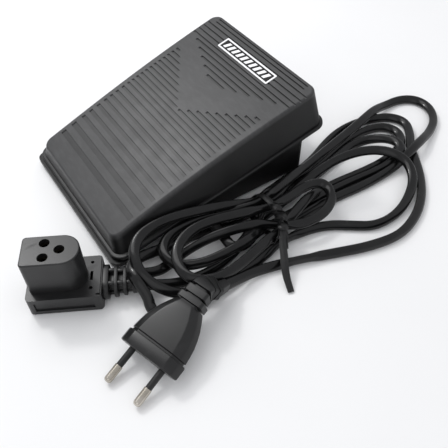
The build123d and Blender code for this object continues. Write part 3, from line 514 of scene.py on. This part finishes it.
def plug_outline(half_w, half_h):
    """Section of the plug: two flat sides, and two facets down to each edge."""
    quarter = [(half_w, 0.0), (half_w - 0.34 * half_h, 0.56 * half_h), (half_w - 0.95 * half_h, half_h)]
    upper = quarter + [(-a, b) for a, b in quarter[::-1]]
    lower = [(a, -b) for a, b in upper[-2:0:-1]]
    return soft_outline([Vector(corner) for corner in upper + lower], PLUG_SOFT)


def plug_shell():
    """Pin carrier and body of the plug, with the groove between them."""
    back, left, out = plug_axes()
    rings = []
    for s, half_w, half_h in PLUG_ROWS:
        place = PLUG_AT + back * (s * MM)
        outline = plug_outline(half_w * MM, half_h * MM)
        rings.append([place + left * p.x + out * p.y for p in outline])
    return skin("plug_shell", [(rings, False)], PLUG_CREASE)


def sleeve_size(s, length):
    """Half width and half height of the plug's strain relief at a distance along it, in mm."""
    for start, end, wide, high in SLEEVE_BLOCKS:
        if s < end + 0.5:
            rise = smooth_step((s - start + SLEEVE_EDGE) / (2 * SLEEVE_EDGE))
            inside = rise * smooth_step((end + SLEEVE_EDGE - s) / (2 * SLEEVE_EDGE))
            shrink = [share + (1.0 - share) * inside for share in SLEEVE_CORE]
            return wide * shrink[0], high * shrink[1]
    left = max(0.0, min(1.0, (length - s) / (length - SLEEVE_BLOCKS[-1][1])))
    return NECK_SMALL[0] + NECK_GROWTH[0] * left, NECK_SMALL[1] + NECK_GROWTH[1] * left


def sleeve_line(cord_line):
    """Middle of the plug's strain relief, from inside the plug to the end of the cord."""
    back, _, _ = plug_axes()
    start, end = PLUG_AT + back * PLUG_TAIL, cord_line[-1]
    leave = (cord_line[-1] - cord_line[-4]).normalized()
    route = [start + back * (s * MM) for s in (0.0, 5.0, 10.0)]
    route.append(start + back * 14.0 * MM - UP * 1.5 * MM)
    route += [end + leave * 6.5 * MM, end + leave * 3.0 * MM, end]
    return line_through(route, 40)


def plug_sleeve(cord_line):
    """Drooping strain relief of the plug: stepped blocks with slots between them."""
    line = sleeve_line(cord_line)
    steps = [(b - a).length for a, b in zip(line, line[1:])]
    length, run, rings = sum(steps) / MM, 0.0, []
    for i, (point, (_, side, top)) in enumerate(zip(line, line_frames(line))):
        run += steps[i - 1] / MM if i else 0.0
        wide, high = sleeve_size(run, length)
        outline = rounded(wide * MM, high * MM, min(wide, high) * 0.32 * MM)
        rings.append([point + side * a + top * b for a, b in outline])
    return skin("plug_sleeve", [(rings, False)])


# ---------------------------------------------------------------- return spring
SPRING_RADIUS, SPRING_WIRE, SPRING_TURNS = 5.4 * MM, 0.4 * MM, 6.5   # radii of the coil and of its wire
SPRING_STEPS, WIRE_POINTS = 24, 10   # points along each turn and round the wire


def coil_spring():
    """Open coil spring round the guide tube."""
    low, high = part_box("return_spring")
    bottom, top = low.z + SPRING_WIRE, high.z - SPRING_WIRE
    middle = Vector(((low.x + high.x) / 2, (low.y + high.y) / 2, bottom))
    count = int(SPRING_TURNS * SPRING_STEPS)
    line = []
    for i in range(count + 1):
        t = 2 * pi * SPRING_TURNS * i / count
        out = Vector((cos(t), sin(t), 0.0)) * SPRING_RADIUS
        line.append(middle + UP * ((top - bottom) * i / count) + out)
    turns = [2 * pi * k / WIRE_POINTS for k in range(WIRE_POINTS)]
    circle = [(SPRING_WIRE * cos(t), SPRING_WIRE * sin(t)) for t in turns]
    rings = []
    for point, (_, side, up) in zip(line, line_frames(line)):
        rings.append([point + side * a + up * b for a, b in circle])
    return skin("coil_spring", [(rings, False)])


def fit_spring(spring):
    """Gives the spring a mesh of its own."""
    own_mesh(spring)


# ---------------------------------------------------------------- materials
REST_TILT, HEEL_Y, HEEL_Z = 12.2, -68.0 * MM, 5.9 * MM   # the treadle's rim plane at rest
# Heel, middle and toe of the crown's arc, along and above the rim plane from its heel, in mm.
CROWN = ((4.5, 11.5), (74.0, 20.8), (141.0, 25.2))
GROOVE_END, GROOVES_FROM, GROOVES_TO = 43.5 * MM, -55.0 * MM, 62.4 * MM
GROOVE_EASE = 0.3 * MM
# Share of the rib's tone by the depth in mm: in the field of grooves, and on the smooth border. Both are
# painted shade: the groove walls drop to near black and the groove floors to half, and the border fades
# to near black down onto the side walls.
GROOVE_SHADE_TONES = [(0.0, 1.0), (0.08, 1.0), (0.16, 0.0), (0.54, 0.0), (0.62, 0.5), (0.8, 0.5), (1.0, 0.0)]
BORDER_SHADE_TONES = [(0.0, 1.0), (0.6, 0.9), (1.5, 0.7), (2.8, 0.0)]


def grey(value):
    """Grey with a faint blue cast."""
    return (value, value, value * 1.02)


class Surface:
    """A material under construction: the Principled shader and the texture nodes that feed it."""

    def __init__(self, name, **plain):
        self.material = bpy.data.materials.new(name)
        self.material.use_nodes = True
        self.tree = self.material.node_tree
        self.shader = self.tree.nodes["Principled BSDF"]
        self.coords = self.node("ShaderNodeTexCoord").outputs["Object"]
        self.normal = None
        for socket, value in plain.items():
            self.shader.inputs[socket.replace("_", " ")].default_value = value

    def node(self, kind, **settings):
        """New node of a kind, with its settings."""
        made = self.tree.nodes.new(kind)
        for key, value in settings.items():
            setattr(made, key, value)
        return made

    def link(self, source, target):
        self.tree.links.new(source, target)

    def noise(self, scale, detail=3.0, stretch=(1.0, 1.0, 1.0)):
        """Noise at a scale in lumps per metre."""
        mapping = self.node("ShaderNodeMapping")
        mapping.inputs["Scale"].default_value = stretch
        texture = self.node("ShaderNodeTexNoise")
        texture.inputs["Scale"].default_value = scale
        texture.inputs["Detail"].default_value = detail
        self.link(self.coords, mapping.inputs["Vector"])
        self.link(mapping.outputs["Vector"], texture.inputs["Vector"])
        return texture.outputs["Fac"]

    def remap(self, value, low, high, to_low=0.0, to_high=1.0):
        """The value's range from low to high, mapped to another range and held inside it."""
        made = self.node("ShaderNodeMapRange")
        ends = {"From Min": low, "From Max": high, "To Min": to_low, "To Max": to_high}
        for socket, number in ends.items():
            made.inputs[socket].default_value = number
        self.link(value, made.inputs["Value"])
        return made.outputs["Result"]

    def facing_sideways(self):
        """1 where the surface faces +X or -X, 0 where it doesn't."""
        parts = self.node("ShaderNodeSeparateXYZ")
        self.link(self.node("ShaderNodeTexCoord").outputs["Normal"], parts.inputs[0])
        size = self.node("ShaderNodeMath", operation="ABSOLUTE")
        self.link(parts.outputs["X"], size.inputs[0])
        return self.remap(size.outputs[0], 0.1, 0.3)

    def steps(self, value, stops):
        """Grey level that goes through the (millimetres, level) stops."""
        made = self.node("ShaderNodeValToRGB")
        ramp, reach = made.color_ramp, stops[-1][0]
        while len(ramp.elements) < len(stops):
            ramp.elements.new(0.5)
        for element, (place, _) in zip(ramp.elements, stops):
            element.position = place / reach
        for element, (_, level) in zip(ramp.elements, stops):
            element.color = (level, level, level, 1.0)
        self.link(self.remap(value, 0.0, reach), made.inputs[0])
        return made.outputs["Color"]

    def times(self, first, second):
        """Product of two values."""
        made = self.node("ShaderNodeMath", operation="MULTIPLY")
        self.link(first, made.inputs[0])
        self.link(second, made.inputs[1])
        return made.outputs[0]

    def blend(self, share, first, second):
        """Colour that goes from first to second with share; each is a colour or a socket."""
        made = self.node("ShaderNodeMix", data_type="RGBA")
        self.link(share, made.inputs[0])
        for socket, colour in ((made.inputs[6], first), (made.inputs[7], second)):
            if isinstance(colour, tuple):
                socket.default_value = (*colour, 1.0)
            else:
                self.link(colour, socket)
        return made.outputs[2]

    def bump(self, height, depth, strength=1.0):
        """Adds a relief of the given depth to the surface."""
        made = self.node("ShaderNodeBump")
        made.inputs["Strength"].default_value = strength
        made.inputs["Distance"].default_value = depth
        self.link(height, made.inputs["Height"])
        if self.normal is not None:
            self.link(self.normal, made.inputs["Normal"])
        self.normal = made.outputs["Normal"]

    def done(self, colour, roughness):
        """The finished material."""
        self.link(colour, self.shader.inputs["Base Color"])
        self.link(roughness, self.shader.inputs["Roughness"])
        if self.normal is not None:
            self.link(self.normal, self.shader.inputs["Normal"])
        return self.material


NO_STREAK = (1.0, 1.0, 1.0)


def moulded(name, dark, light, rough=(0.38, 0.5), grain=1500.0, depth=0.03 * MM, **plain):
    """Moulded plastic or rubber: spark-eroded grain, cloudy tone and a few dull scuffs."""
    s = Surface(name, **plain)
    cloud = s.remap(s.noise(45.0, 4.0), 0.3, 0.7)
    scuff = s.remap(s.noise(210.0, 6.0, (1.0, 0.25, 1.0)), 0.58, 0.72)
    s.bump(s.noise(grain, 2.0), depth, 0.5)
    s.bump(s.noise(90.0, 2.0), depth * 2, 0.3)
    tone = s.blend(cloud, dark, light)
    rubbed = tuple(min(1.0, c * 1.9) for c in light)
    worn = s.blend(s.remap(scuff, 0.0, 1.0, 0.0, 0.35), tone, rubbed)
    return s.done(worn, s.remap(scuff, 0.0, 1.0, rough[0], rough[1]))


def depth_below_crown(s):
    """How far a point of the treadle lies below its crowned top, in mm, up to 4 mm."""
    v, w, radius = circle_through(*CROWN)
    tilt = radians(REST_TILT)
    centre_y = HEEL_Y + (v * cos(tilt) - w * sin(tilt)) * MM
    centre_z = HEEL_Z + (v * sin(tilt) + w * cos(tilt)) * MM
    reach = s.node("ShaderNodeVectorMath", operation="SUBTRACT")
    reach.inputs[1].default_value = (0.0, centre_y, centre_z)
    s.link(s.coords, reach.inputs[0])
    flat = s.node("ShaderNodeVectorMath", operation="MULTIPLY")
    flat.inputs[1].default_value = (0.0, 1.0, 1.0)
    s.link(reach.outputs[0], flat.inputs[0])
    length = s.node("ShaderNodeVectorMath", operation="LENGTH")
    s.link(flat.outputs[0], length.inputs[0])
    return s.remap(length.outputs["Value"], (radius - 4.0) * MM, radius * MM, 4.0, 0.0)


def treadle_plastic():
    """Black plastic with satin grey ribs. Painted shade darkens the grooves' floors and walls and the
    border down to the side walls, and painted light makes the grooves' end walls pale.
    """
    s = Surface("treadle_plastic", Specular_IOR_Level=0.35)
    depth = depth_below_crown(s)
    cloud = s.remap(s.noise(38.0, 4.0), 0.3, 0.7)
    worn = s.remap(s.noise(150.0, 7.0, (1.0, 3.0, 1.0)), 0.45, 0.75, 0.0, 0.3)
    s.bump(s.noise(1500.0, 2.0), 0.03 * MM, 0.5)
    s.bump(s.noise(80.0, 2.0), 0.02 * MM, 0.3)
    rib = s.blend(worn, s.blend(cloud, grey(0.036), grey(0.045)), grey(0.078))
    # Painted shade: below the crown the tone falls from the rib's grey to this near black, on the groove
    # walls and floors and down the side walls.
    wall_shade = s.blend(cloud, grey(0.004), grey(0.007))
    border = outside_grooves(s)
    inner = s.steps(depth, GROOVE_SHADE_TONES)
    outer = s.steps(depth, BORDER_SHADE_TONES)
    tone = s.blend(s.blend(border, inner, outer), wall_shade, rib)
    groove = s.steps(depth, [(0.0, 0.0), (0.1, 1.0), (0.75, 1.0), (0.9, 0.0)])
    in_field = s.remap(border, 0.0, 1.0, 1.0, 0.0)
    ends = s.times(s.times(s.facing_sideways(), groove), in_field)
    gloss = s.remap(s.noise(120.0, 5.0), 0.3, 0.7, 0.38, 0.45)
    # Painted light: the grooves' end walls, picked out by the mask above, are painted pale grey in place
    # of the shade they lie in.
    return s.done(s.blend(ends, tone, grey(0.18)), gloss)


def outside_grooves(s):
    """1 on the treadle's smooth border, 0 in the field of grooves."""
    parts = s.node("ShaderNodeSeparateXYZ")
    s.link(s.coords, parts.inputs[0])
    across = s.node("ShaderNodeMath", operation="ABSOLUTE")
    s.link(parts.outputs["X"], across.inputs[0])
    sides = s.remap(across.outputs[0], GROOVE_END, GROOVE_END + GROOVE_EASE, 1.0, 0.0)
    heel = s.remap(parts.outputs["Y"], GROOVES_FROM - GROOVE_EASE, GROOVES_FROM)
    toe = s.remap(parts.outputs["Y"], GROOVES_TO, GROOVES_TO + GROOVE_EASE, 1.0, 0.0)
    return s.remap(s.times(s.times(sides, heel), toe), 0.0, 1.0, 1.0, 0.0)


def circle_through(p, q, r):
    """Centre and radius of the circle through three points."""
    (ax, ay), (bx, by), (cx, cy) = p, q, r
    d = 2 * (ax * (by - cy) + bx * (cy - ay) + cx * (ay - by))
    a, b, c = ax * ax + ay * ay, bx * bx + by * by, cx * cx + cy * cy
    ux = (a * (by - cy) + b * (cy - ay) + c * (ay - by)) / d
    uy = (a * (cx - bx) + b * (ax - cx) + c * (bx - ax)) / d
    return ux, uy, hypot(ax - ux, ay - uy)


def vinyl_cord():
    """Soft black vinyl with a faint orange-peel skin and dull finger marks."""
    s = Surface("vinyl_cord", Specular_IOR_Level=0.34)
    marks = s.remap(s.noise(160.0, 5.0), 0.42, 0.7)
    s.bump(s.noise(900.0, 2.0), 0.03 * MM, 0.4)
    s.bump(s.noise(210.0, 1.0), 0.1 * MM, 0.2)
    tone = s.blend(s.remap(s.noise(70.0, 3.0), 0.3, 0.7), grey(0.0035), grey(0.006))
    marked = s.blend(s.remap(marks, 0.0, 1.0, 0.0, 0.25), tone, grey(0.014))
    return s.done(marked, s.remap(marks, 0.0, 1.0, 0.16, 0.28))


def tie_film():
    """Thin ribbed film: fine lines run along the tie, and it creases across."""
    s = Surface("tie_film", Specular_IOR_Level=0.4)
    place = s.node("ShaderNodeUVMap", uv_map="along")
    ribs = s.node("ShaderNodeTexWave", wave_type="BANDS", bands_direction="X")
    ribs.inputs["Scale"].default_value = 9.0
    s.link(place.outputs["UV"], ribs.inputs["Vector"])
    s.bump(ribs.outputs["Fac"], 0.06 * MM, 0.5)
    s.bump(s.noise(420.0, 3.0), 0.12 * MM, 0.4)
    tone = s.blend(s.remap(s.noise(260.0, 3.0), 0.3, 0.7), grey(0.005), grey(0.011))
    return s.done(tone, s.remap(s.noise(300.0, 3.0), 0.3, 0.7, 0.3, 0.46))


def metal(name, dark, light, rough=(0.2, 0.34), streak=(1.0, 1.0, 8.0), scale=260.0):
    """Bare or plated metal with drawn streaks and small tarnish spots."""
    s = Surface(name, Metallic=1.0)
    streaks = s.remap(s.noise(scale, 5.0, streak), 0.3, 0.7)
    spots = s.remap(s.noise(340.0, 6.0), 0.6, 0.75, 0.0, 0.5)
    s.bump(streaks, 0.02 * MM, 0.3)
    tone = s.blend(streaks, dark, light)
    tarnish = tuple(c * 0.55 for c in dark)
    return s.done(s.blend(spots, tone, tarnish), s.remap(streaks, 0.0, 1.0, rough[1], rough[0]))


def banded(name, ground, band, scale, axis="Y", share=0.62, rough=(0.3, 0.42), **plain):
    """Lacquered part with bands or windings across it."""
    s = Surface(name, **plain)
    wave = s.node("ShaderNodeTexWave", wave_type="BANDS", bands_direction=axis)
    wave.inputs["Scale"].default_value = scale
    s.link(s.coords, wave.inputs["Vector"])
    bands = s.remap(wave.outputs["Fac"], share, share + 0.12)
    cloud = s.noise(300.0, 3.0)
    s.bump(wave.outputs["Fac"], 0.1 * MM, 0.4)
    s.bump(cloud, 0.04 * MM, 0.3)
    return s.done(s.blend(bands, ground, band), s.remap(cloud, 0.3, 0.7, rough[0], rough[1]))


def printed_board(name, ground, copper):
    """Lacquered circuit board: tracks show through as a paler net of lines."""
    s = Surface(name, Coat_Weight=0.4, Coat_Roughness=0.2)
    cells = s.node("ShaderNodeTexVoronoi", feature="DISTANCE_TO_EDGE", distance="MANHATTAN")
    cells.inputs["Scale"].default_value = 260.0
    s.link(s.coords, cells.inputs["Vector"])
    track = s.remap(cells.outputs["Distance"], 0.06, 0.1, 1.0, 0.0)
    s.bump(track, 0.05 * MM, 0.5)
    weave = s.noise(900.0, 2.0)
    tone = s.blend(s.remap(weave, 0.3, 0.7), ground, tuple(c * 1.3 for c in ground))
    return s.done(s.blend(track, tone, copper), s.remap(weave, 0.3, 0.7, 0.28, 0.4))


def floor_paper():
    """Pale seamless paper."""
    s = Surface("floor_paper")
    cloud = s.remap(s.noise(6.0, 3.0), 0.3, 0.7)
    s.bump(s.noise(900.0, 2.0), 0.02 * MM, 0.2)
    tone = s.blend(cloud, (0.86, 0.86, 0.86), (0.89, 0.89, 0.89))
    return s.done(tone, s.remap(cloud, 0.0, 1.0, 0.7, 0.8))


def dress(material, *nodes):
    """Puts a material on CAD nodes."""
    for node in nodes:
        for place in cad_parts[node].material_slots:
            place.material = material


def dress_controller():
    """Finishes of the treadle, the badge and the base, with their fittings."""
    base = moulded("base_plastic", grey(0.004), grey(0.007), Specular_IOR_Level=0.3)
    rubber = moulded("foot_rubber", grey(0.006), grey(0.01), (0.6, 0.75), 700.0, 0.05 * MM,
                     Specular_IOR_Level=0.3)
    zinc = metal("zinc_plate", (0.5, 0.52, 0.56), (0.7, 0.71, 0.72), (0.28, 0.42), NO_STREAK, 500.0)
    badge = moulded("badge_gloss", grey(0.002), grey(0.004), (0.3, 0.4), 400.0, 0.005 * MM,
                    Specular_IOR_Level=0.2)
    print_white = moulded("white_print", grey(0.86), grey(0.92), (0.4, 0.5), 900.0, 0.01 * MM)
    nylon = moulded("nylon", (0.72, 0.71, 0.66), (0.8, 0.79, 0.75), (0.35, 0.5), 700.0)
    dress(treadle_plastic(), "treadle")
    dress(badge, "badge_plate")
    dress(print_white, "badge_frame")
    dress(nylon, "plunger")
    dress(base, "base_tray", "chassis_cover", "cord_clamp")
    dress(rubber, "rubber_feet", "stop_pads", "cord_gland")
    dress(zinc, "cover_screws", "board_screws", "clamp_screws")


def dress_electronics():
    """Finishes of the boards and what is on them."""
    capacitor = banded("capacitor_film", (0.62, 0.42, 0.05), (0.7, 0.52, 0.12), 60.0, "X")
    winding = banded("copper_winding", (0.28, 0.1, 0.04), (0.62, 0.28, 0.12), 420.0, "X", 0.4,
                     Metallic=0.7)
    lacquer = banded("resistor_lacquer", (0.6, 0.46, 0.26), (0.2, 0.06, 0.03), 210.0, "Y", 0.8)
    brass = metal("turned_brass", (0.62, 0.43, 0.16), (0.83, 0.63, 0.3), (0.22, 0.36))
    dress(capacitor, "film_capacitor")
    dress(winding, "choke_coil")
    dress(lacquer, "resistors")
    dress(brass, "wiper_contact")
    dress(metal("aluminium", grey(0.6), grey(0.76), (0.3, 0.42), (1.0, 6.0, 1.0)), "heatsink")
    dress(moulded("terminal_grey", grey(0.42), grey(0.5), (0.4, 0.55)), "terminal_block")
    dress(moulded("component_black", grey(0.01), grey(0.016), (0.45, 0.6), 1800.0), "triac")
    dress(printed_board("circuit_board", (0.03, 0.12, 0.05), (0.07, 0.24, 0.1)), "circuit_board")
    dress(printed_board("track_board", (0.17, 0.08, 0.03), (0.3, 0.16, 0.07)), "track_board")


def dress_cord_set():
    """Finishes of the connector, the plug, the cords and the tie; the drawn pieces use some too."""
    connector = moulded("connector_plastic", grey(0.012), grey(0.019), (0.34, 0.46), 1300.0,
                        0.035 * MM, Specular_IOR_Level=0.4)
    plug = moulded("plug_vinyl", grey(0.007), grey(0.012), (0.34, 0.46), 1100.0, 0.035 * MM,
                   Specular_IOR_Level=0.4)
    soft = moulded("relief_vinyl", grey(0.006), grey(0.01), (0.38, 0.5), 900.0, 0.04 * MM,
                   Specular_IOR_Level=0.4)
    tarnished = metal("tarnished_contacts", (0.02, 0.017, 0.012), (0.05, 0.042, 0.03), (0.4, 0.55))
    nickel = metal("nickel_plate", (0.36, 0.33, 0.28), (0.6, 0.56, 0.5), (0.16, 0.26), NO_STREAK, 120.0)
    cord, film = vinyl_cord(), tie_film()
    dress(connector, "connector_block", "connector_plate")
    dress(plug, "plug_collar", "plug_body")
    dress(soft, "connector_relief", "plug_relief", "pin_sleeves")
    dress(tarnished, "socket_contacts")
    dress(nickel, "plug_pins")
    dress(cord, "cord_tail", "cord_hank", "mains_cord_floor")
    dress(film, "twist_tie")
    return {"plug": plug, "soft": soft, "cord": cord, "tie": film}


def dress_nodes():
    """A finish for every CAD node; returns those that the drawn pieces share."""
    steel = metal("bright_steel", grey(0.42), grey(0.62))
    dress(steel, "hinge_pin", "return_spring")
    dress_controller()
    dress_electronics()
    return {"steel": steel, **dress_cord_set()}


# ---------------------------------------------------------------- stage
FLOOR_HALF = 4.0
WORLD_LIGHT, KEY_POWER, FILL_POWER, GLINT_POWER = 0.72, 3.1, 0.9, 1.6


def add_light(name, direction, distance, size, power):
    """Round area light that shines on the middle of the view."""
    data = bpy.data.lights.new(name, "AREA")
    data.shape, data.size, data.energy = "DISK", size, power
    light = bpy.data.objects.new(name, data)
    way = Vector(direction).normalized()
    light.location = VIEW_TARGET + way * distance
    light.rotation_mode = "QUATERNION"
    light.rotation_quaternion = way.to_track_quat("Z", "Y")
    bpy.context.collection.objects.link(light)


def add_floor():
    """Level floor of pale paper."""
    half = FLOOR_HALF
    corners = [(-half, -half, 0), (half, -half, 0), (half, half, 0), (-half, half, 0)]
    mesh = bpy.data.meshes.new("floor")
    mesh.from_pydata(corners, [], [(0, 1, 2, 3)])
    floor = bpy.data.objects.new("floor", mesh)
    bpy.context.collection.objects.link(floor)
    mesh.materials.append(floor_paper())


def add_stage():
    """Floor, even studio light, a large and a small lamp on the far side, and a fill on the near side."""
    add_floor()
    world = bpy.data.worlds.new("studio")
    world.use_nodes = True
    background = world.node_tree.nodes["Background"]
    background.inputs["Color"].default_value = (0.96, 0.97, 1.0, 1.0)
    background.inputs["Strength"].default_value = WORLD_LIGHT
    bpy.context.scene.world = world
    bpy.context.scene.view_settings.view_transform = "Standard"
    add_light("key", (-0.52, -0.10, 0.84), 0.95, 0.75, KEY_POWER)
    add_light("fill", (0.7, -0.75, 0.8), 1.1, 0.9, FILL_POWER)
    add_light("glint", (-0.62, -0.16, 0.78), 0.9, 0.12, GLINT_POWER)


# ---------------------------------------------------------------- put together
def finish_piece(obj, material, slot, *nodes):
    """Gives a drawn piece its material and body, and hides the CAD nodes that it replaces; the slot is
    not used.
    """
    obj.data.materials.append(material)
    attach(obj, "base")
    if nodes:
        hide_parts(*nodes)
    return obj


def add_ties(lines, film):
    """The tie's ring round the strands, its twist and its three ends."""
    ties = [
        finish_piece(tie_ring(lines), film, "tie_black", "twist_tie"),
        tie_twist(),
        tie_tail("tie_tail_long", LONG_TAIL, LONG_HALF_WIDTHS),
        tie_tail("tie_tail_short", SHORT_TAIL, SHORT_HALF_WIDTHS, 0.12, 0.8),
        tie_tail("tie_loose_end", LOOSE_END, LOOSE_HALF_WIDTHS, 0.2, 0.9),
    ]
    for tie in ties[1:]:
        finish_piece(tie, film, "tie_black")
    return ties


def build():
    """The whole scene: camera, stage, finishes, drawn pieces and what they stand for."""
    add_camera()
    add_stage()
    looks = dress_nodes()
    pedal_line, mains_line = line_through(PEDAL_ROUTE), line_through(MAINS_ROUTE)
    pedal = finish_piece(flat_cord("pedal_cord", pedal_line), looks["cord"], "cord_black", "cord_hank")
    mains = finish_piece(flat_cord("mains_cord", mains_line), looks["cord"], "cord_black",
                         "cord_hank", "mains_cord_floor")
    ties = add_ties([pedal_line, mains_line], looks["tie"])
    grommet = finish_piece(connector_grommet(), looks["soft"], "soft_black", "connector_relief")
    sleeve = finish_piece(plug_sleeve(mains_line), looks["soft"], "soft_black", "plug_relief")
    shell = finish_piece(plug_shell(), looks["plug"], "plug_black", "plug_collar", "plug_body")
    fit_spring(finish_piece(coil_spring(), looks["steel"], "steel", "return_spring"))


build()
